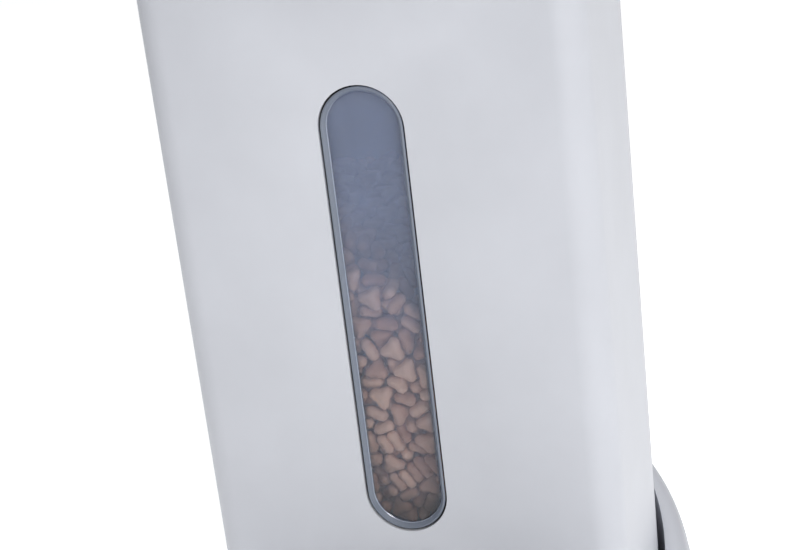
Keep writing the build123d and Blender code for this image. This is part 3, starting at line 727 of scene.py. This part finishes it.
class FEEDER_OT_kibble(bpy.types.Operator):
    """Settles the food against the window, and lays more of it over the top and round the tank"""

    bl_idname = "feeder.kibble"
    bl_label = "Food"

    def execute(self, context):
        sizes, colours, _ = settings()
        low = corners("food_tank")[0]
        food_low, food_high = corners("kibble")
        gap = 0.8 * MM
        front = food_low.y - gap
        inner = food_high.x + gap
        centre_y = food_high.y + gap - inner
        funnel = low.z + FUNNEL_TALL
        foot_front = front + FUNNEL_IN
        model = kibble_piece(sizes)
        resting = settle_food(model, front, funnel, low.z - 1.2 * MM, foot_front)
        draw = random.Random(5)
        places = [m for m in resting if m.translation.z < food_height(m.translation.x) - 2 * MM]

        tile_middle = funnel + 2 * MM
        lay = Matrix.Rotation(math.radians(-90), 4, "X")
        tile = []
        for matrix in resting:
            spot = matrix.translation
            deep = spot.y - front
            if abs(spot.z - tile_middle) < TILE_TALL / 2:
                deep -= max(0, funnel - spot.z) * FUNNEL_IN / FUNNEL_TALL
                tile.append((matrix, spot.x, spot.z - tile_middle, deep))
        for column in (-1, 0, 1):
            for row in (0, 1):
                for matrix, across, up, deep in tile:
                    spot = Vector((column * 2 * SLAB_HALF + across, front + (row + 0.5) * TILE_TALL + up, 0))
                    if deep > TOP_LAYER or not inside_plan(spot, front, inner, centre_y, 6 * MM):
                        continue
                    if abs(spot.x) < SLAB_HALF and spot.y < front + SLAB_DEEP - 2 * MM:
                        continue
                    spot.z = food_height(spot.x) - deep + 2 * MM
                    turn = lay @ matrix.to_quaternion().to_matrix().to_4x4()
                    places.append(Matrix.Translation(spot) @ turn @ Matrix.Diagonal((*matrix.to_scale(), 1)))
        for spot, outward in around_tank(front, inner, centre_y):
            along = Vector((-outward.y, outward.x, 0))
            spin = Matrix.Rotation(math.atan2(outward.y, outward.x) + math.pi / 2, 4, "Z")
            for matrix, across, up, deep in tile:
                place = spot + along * across - outward * deep
                place.z = tile_middle + up
                ceiling = food_height(place.x) - SIDE_LAYER
                if deep > SIDE_LAYER or place.z < funnel or place.z > ceiling:
                    continue
                if not inside_plan(place, front, inner, centre_y, 2 * MM):
                    continue
                if abs(place.x) < SLAB_HALF and place.y < front + SLAB_DEEP:
                    continue
                turn = spin @ matrix.to_quaternion().to_matrix().to_4x4()
                places.append(Matrix.Translation(place) @ turn @ Matrix.Diagonal((*matrix.to_scale(), 1)))

        copies = []
        for matrix in places:
            obj = model.copy()
            obj.data = model.data.copy()
            obj.matrix_world = matrix
            tone = obj.data.attributes.new("tone", "FLOAT", "POINT")
            tone.data.foreach_set("value", [draw.random()] * len(obj.data.vertices))
            context.scene.collection.objects.link(obj)
            copies.append(obj)
        bpy.data.objects.remove(model)
        deselect()
        for obj in copies:
            obj.select_set(True)
        context.view_layer.objects.active = copies[0]
        bpy.ops.object.join()
        food = baked_food(colours.kibble, colours.kibble_dark)
        pieces = settle(context.object, "kibble_pieces", food, math.radians(180))
        stand_for(pieces, "kibble")
        return {"FINISHED"}


class FEEDER_OT_tank(bpy.types.Operator):
    """Finishes the clear food tank"""

    bl_idname = "feeder.tank"
    bl_label = "Tank"

    def execute(self, context):
        sizes, colours, _ = settings()
        # Painted reflection: the tank's film rises from 0.06 below 0.20 m to 0.25 above 0.29 m, partly dust
        # and partly the bright floor's veil on the wall.
        clear = clear_wall("polycarbonate_moulded_clear", "#FBFCFE", colours.haze, (0.06, 0.25), 0.3, 0.008)
        moulded_copy("food_tank", "food_tank_moulding", clear, sizes.small_round, segments=2)
        return {"FINISHED"}


class FEEDER_OT_lid(bpy.types.Operator):
    """Finishes the pieces of the lid: its release button, liner, seal and desiccant holder"""

    bl_idname = "feeder.lid"
    bl_label = "Lid fittings"

    def execute(self, context):
        sizes, colours, _ = settings()
        liner = moulded_plastic("polypropylene_moulded", colours.liner, 0.48, grain_mm=0.8, depth_mm=0.01)
        button = moulded_plastic("abs_moulded_satin_button", colours.button, 0.34,
                                 grain_mm=0.6, depth_mm=0.006)
        moulded_copy("lid_button", "lid_button_moulding", button, sizes.small_round)
        for node in ("lid_liner", "desiccant_cup", "desiccant_cover"):
            moulded_copy(node, node + "_moulding", liner, sizes.small_round, segments=2)
        silicone = rubber("silicone_moulded_milky", "#CDD3DA")
        moulded_copy("lid_seal", "lid_seal_moulding", silicone, sizes.small_round)
        finish("latch_spring", drawn_metal("spring_wire_nickel_plated", "#C9CACD", 0.22))
        finish("hinge_pin", drawn_metal("steel_rod_ground", "#BFC1C5", 0.28))
        return {"FINISHED"}


class FEEDER_OT_bowl(bpy.types.Operator):
    """Spins the steel bowl, with its rolled rim"""

    bl_idname = "feeder.bowl"
    bl_label = "Bowl"

    def execute(self, context):
        low, high = corners("bowl")
        centre = (low + high) / 2
        rim = high.x
        wall = 0.8 * MM
        brim = high.z
        profile = (
            (0, low.z + wall), (rim * 0.52, low.z + wall), (rim * 0.66, low.z + wall + 1.0 * MM),
            (rim * 0.74, low.z + wall + 4.2 * MM), (rim * 0.80, low.z + 12 * MM),
            (rim * 0.885, brim - 7 * MM), (rim * 0.905, brim - 2.4 * MM),
            (rim * 0.925, brim - 0.6 * MM), (rim * 0.955, brim),
            (rim * 0.985, brim - 0.4 * MM), (rim, brim - 1.4 * MM), (rim * 0.995, brim - 2.4 * MM),
        )
        bpy.ops.mesh.primitive_plane_add(size=1 * MM, location=(0, 0, 0))
        obj = context.object
        edit(obj, "VERT")
        bpy.ops.mesh.select_all(action="SELECT")
        bpy.ops.mesh.merge(type="CENTER")
        bpy.ops.transform.translate(value=(0, 0, profile[0][1]))
        for (reach, height), (next_reach, next_height) in zip(profile, profile[1:]):
            bpy.ops.mesh.extrude_vertices_move(
                TRANSFORM_OT_translate={"value": (next_reach - reach, 0, next_height - height)})
        bpy.ops.mesh.select_all(action="SELECT")
        bpy.ops.mesh.spin(steps=96, angle=math.tau, center=(0, 0, 0), axis=(0, 0, 1))
        bpy.ops.mesh.select_all(action="SELECT")
        bpy.ops.mesh.remove_doubles(threshold=0.05 * MM)
        bpy.ops.mesh.normals_make_consistent(inside=False)
        done(obj)
        obj.location = (centre.x, centre.y, 0)
        modify(obj, "SOLIDIFY", thickness=wall, offset=0)
        modify(obj, "SUBSURF", levels=1, render_levels=1)
        settle(obj, "bowl_spun", spun_steel(centre), math.radians(60))
        stand_for(obj, "bowl")
        return {"FINISHED"}


CLOCK = "1230"
SEGMENTS = {"1": "bc", "2": "abged", "0": "abcdef", "3": "abgcd"}


class FEEDER_OT_controls(bpy.types.Operator):
    """Finishes the control panel: its window, clock digits, buttons and board"""

    bl_idname = "feeder.controls"
    bl_label = "Controls"

    def execute(self, context):
        sizes, colours, _ = settings()
        acrylic = moulded_plastic("acrylic_moulded_black_polished", colours.panel, 0.08,
                                  depth_mm=0.0, drift=0.05)
        moulded_copy("panel_lens", "panel_window", acrylic, sizes.small_round, segments=2)
        cap = moulded_plastic("abs_moulded_satin_keys", colours.button, 0.36, grain_mm=0.5, depth_mm=0.006)
        for node in ("button_set", "button_lock", "button_feed"):
            moulded_copy(node, node + "_cap", cap, sizes.small_round)
        self.digits()
        dark = moulded_plastic("abs_moulded_black", "#1B1C1F", 0.42, grain_mm=0.6)
        for node in ("display_module", "tact_switches", "chute_sensors"):
            finish(node, dark)
        finish("main_board", circuit_board())
        pipe = clear_wall("acrylic_rod_clear", "#F2F6FA", colours.haze, (0.1, 0.1), 0.15, 0.04)
        finish("light_pipe", pipe)
        return {"FINISHED"}

    def digits(self):
        """Lays lit seven-segment clock digits on the face of the panel."""
        low, high = corners("panel_lens")
        display_low, display_high = corners("display_module")
        middle_z = (low.z + high.z) / 2
        tall = 7.0 * MM
        wide = 3.8 * MM
        stroke = 0.8 * MM
        gap = 0.25 * MM
        bars = {"a": (0, tall / 2, 0), "g": (0, 0, 0), "d": (0, -tall / 2, 0), "f": (-wide / 2, tall / 4, 1),
                "b": (wide / 2, tall / 4, 1), "e": (-wide / 2, -tall / 4, 1), "c": (wide / 2, -tall / 4, 1)}
        pitch = 6.0 * MM
        start = (display_low.x + display_high.x) / 2 - 1.6 * pitch
        parts = []
        for place, digit in enumerate(CLOCK):
            x = start + pitch * (place + (0.4 if place > 1 else 0))
            for name in SEGMENTS[digit]:
                across, up, upright = bars[name]
                length = tall / 2 - gap if upright else wide - gap
                parts.append(self.bar(x + across, low.y, middle_z + up, stroke, length, upright))
        colon = start + 1.7 * pitch
        for up in (-1.5 * MM, 1.5 * MM):
            parts.append(self.bar(colon, low.y, middle_z + up, stroke, stroke, 1))
        deselect()
        for part in parts:
            part.select_set(True)
        bpy.context.view_layer.objects.active = parts[0]
        bpy.ops.object.join()
        material, tree, surface = new_material("ink_translucent_lit")
        surface.inputs["Base Color"].default_value = linear("#DDE9F2")
        surface.inputs["Emission Color"].default_value = linear("#CFE6F7")
        surface.inputs["Emission Strength"].default_value = 0.9
        tree.links.new(span(tree, grain(tree, 0.8), 0.3, 0.5), surface.inputs["Roughness"])
        obj = settle(bpy.context.object, "clock_digits", material)
        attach(obj, BODY_OF["panel_lens"])

    def bar(self, x, y, z, stroke, length, upright):
        """One bar of a digit, with pointed ends."""
        turn = (math.radians(90), math.radians(90 * upright), 0)
        bpy.ops.mesh.primitive_cylinder_add(vertices=6, radius=stroke / 2, depth=0.12 * MM,
                                            location=(x, y, z), rotation=turn)
        obj = bpy.context.object
        stretch = max(length - stroke, 0) / 2
        for vertex in obj.data.vertices:
            if abs(vertex.co.x) > stroke / 9:
                vertex.co.x += math.copysign(stretch, vertex.co.x)
        return obj


class FEEDER_OT_chute(bpy.types.Operator):
    """Finishes the chute, its flap and the metering drum"""

    bl_idname = "feeder.chute"
    bl_label = "Chute and drum"

    def execute(self, context):
        sizes, colours, _ = settings()
        inner = moulded_plastic("abs_moulded_inner_grey", colours.inner, 0.5, grain_mm=0.7, depth_mm=0.02)
        for node in ("chute", "chute_flap", "dispenser_housing", "battery_box"):
            moulded_copy(node, node + "_moulding", inner, sizes.small_round, segments=2)
        wheel = moulded_plastic("polypropylene_moulded_blue_grey", "#93A7B8", 0.45, grain_mm=0.7)
        for node in ("food_wheel", "agitator"):
            moulded_copy(node, node + "_moulding", wheel, sizes.small_round, segments=2)
        finish("wheel_wipers", rubber("silicone_moulded_wipers", "#C3CAD1"))
        return {"FINISHED"}


class FEEDER_OT_drive(bpy.types.Operator):
    """Finishes the motor, gears, shafts and bracket"""

    bl_idname = "feeder.drive"
    bl_label = "Drive"

    def execute(self, context):
        sizes = settings()[0]
        acetal = moulded_plastic("acetal_moulded_natural", "#E4DECF", 0.35, grain_mm=0.5, depth_mm=0.005)
        for node in ("drive_gear", "motor_pinion"):
            moulded_copy(node, node + "_moulding", acetal, sizes.small_round / 2, segments=2)
        nylon = moulded_plastic("nylon_moulded_glass_filled", "#2C2F34", 0.55, grain_mm=0.6, depth_mm=0.02)
        moulded_copy("gearbox", "gearbox_moulding", nylon, sizes.small_round)
        rod = drawn_metal("steel_rod_drawn", "#BCBEC2", 0.3)
        for node in ("wheel_shaft", "gearbox_shaft"):
            finish(node, rod)
        finish("motor", drawn_metal("steel_can_drawn_zinc_plated", "#A9ABAF", 0.34))
        finish("motor_bracket", drawn_metal("steel_sheet_zinc_plated", "#A3A7AB", 0.42))
        return {"FINISHED"}


class FEEDER_OT_underside(bpy.types.Operator):
    """Finishes the feet, screws, inlet, cells and speaker"""

    bl_idname = "feeder.underside"
    bl_label = "Feet, screws and power"

    def execute(self, context):
        sizes = settings()[0]
        black = rubber("rubber_moulded_black", "#26272A")
        moulded_copy("rubber_feet", "rubber_feet_moulding", black, sizes.small_round)
        finish("base_screws", drawn_metal("steel_screw_zinc_plated", "#8F9297", 0.4))
        nickel = drawn_metal("steel_sheet_nickel_plated", "#C4C5C8", 0.25)
        for node in ("power_inlet", "battery_contacts"):
            finish(node, nickel)
        finish("batteries", cell_wrap())
        cone = moulded_plastic("paper_cone_pressed_black", "#202124", 0.8, grain_mm=0.8, depth_mm=0.05)
        finish("speaker", cone)
        return {"FINISHED"}


class FEEDER_PT_panel(bpy.types.Panel):
    """Lists the steps that finish the feeder"""

    bl_label = "Automatic Pet Feeder"
    bl_idname = "FEEDER_PT_panel"
    bl_space_type = "VIEW_3D"
    bl_region_type = "UI"
    bl_category = "Feeder"

    def draw(self, context):
        for step in STEPS:
            self.layout.operator(step.bl_idname)


STEPS = (
    FEEDER_OT_stage, FEEDER_OT_shells, FEEDER_OT_window, FEEDER_OT_kibble, FEEDER_OT_tank, FEEDER_OT_lid,
    FEEDER_OT_bowl, FEEDER_OT_controls, FEEDER_OT_chute, FEEDER_OT_drive, FEEDER_OT_underside,
)
CLASSES = (FeederSizes, FeederColours, StudioSettings, *STEPS, FEEDER_PT_panel)


def register():
    """Registers the classes and the scene's settings."""
    for kind in CLASSES:
        bpy.utils.register_class(kind)
    bpy.types.Scene.feeder_sizes = bpy.props.PointerProperty(type=FeederSizes)
    bpy.types.Scene.feeder_colours = bpy.props.PointerProperty(type=FeederColours)
    bpy.types.Scene.feeder_studio = bpy.props.PointerProperty(type=StudioSettings)


def unregister():
    """Removes the settings and the classes."""
    del bpy.types.Scene.feeder_studio
    del bpy.types.Scene.feeder_colours
    del bpy.types.Scene.feeder_sizes
    for kind in reversed(CLASSES):
        bpy.utils.unregister_class(kind)


def main():
    """Finishes every piece in order."""
    register()
    for step in STEPS:
        group, name = step.bl_idname.split(".")
        deselect()
        getattr(getattr(bpy.ops, group), name)()


if __name__ == "__main__":
    main()
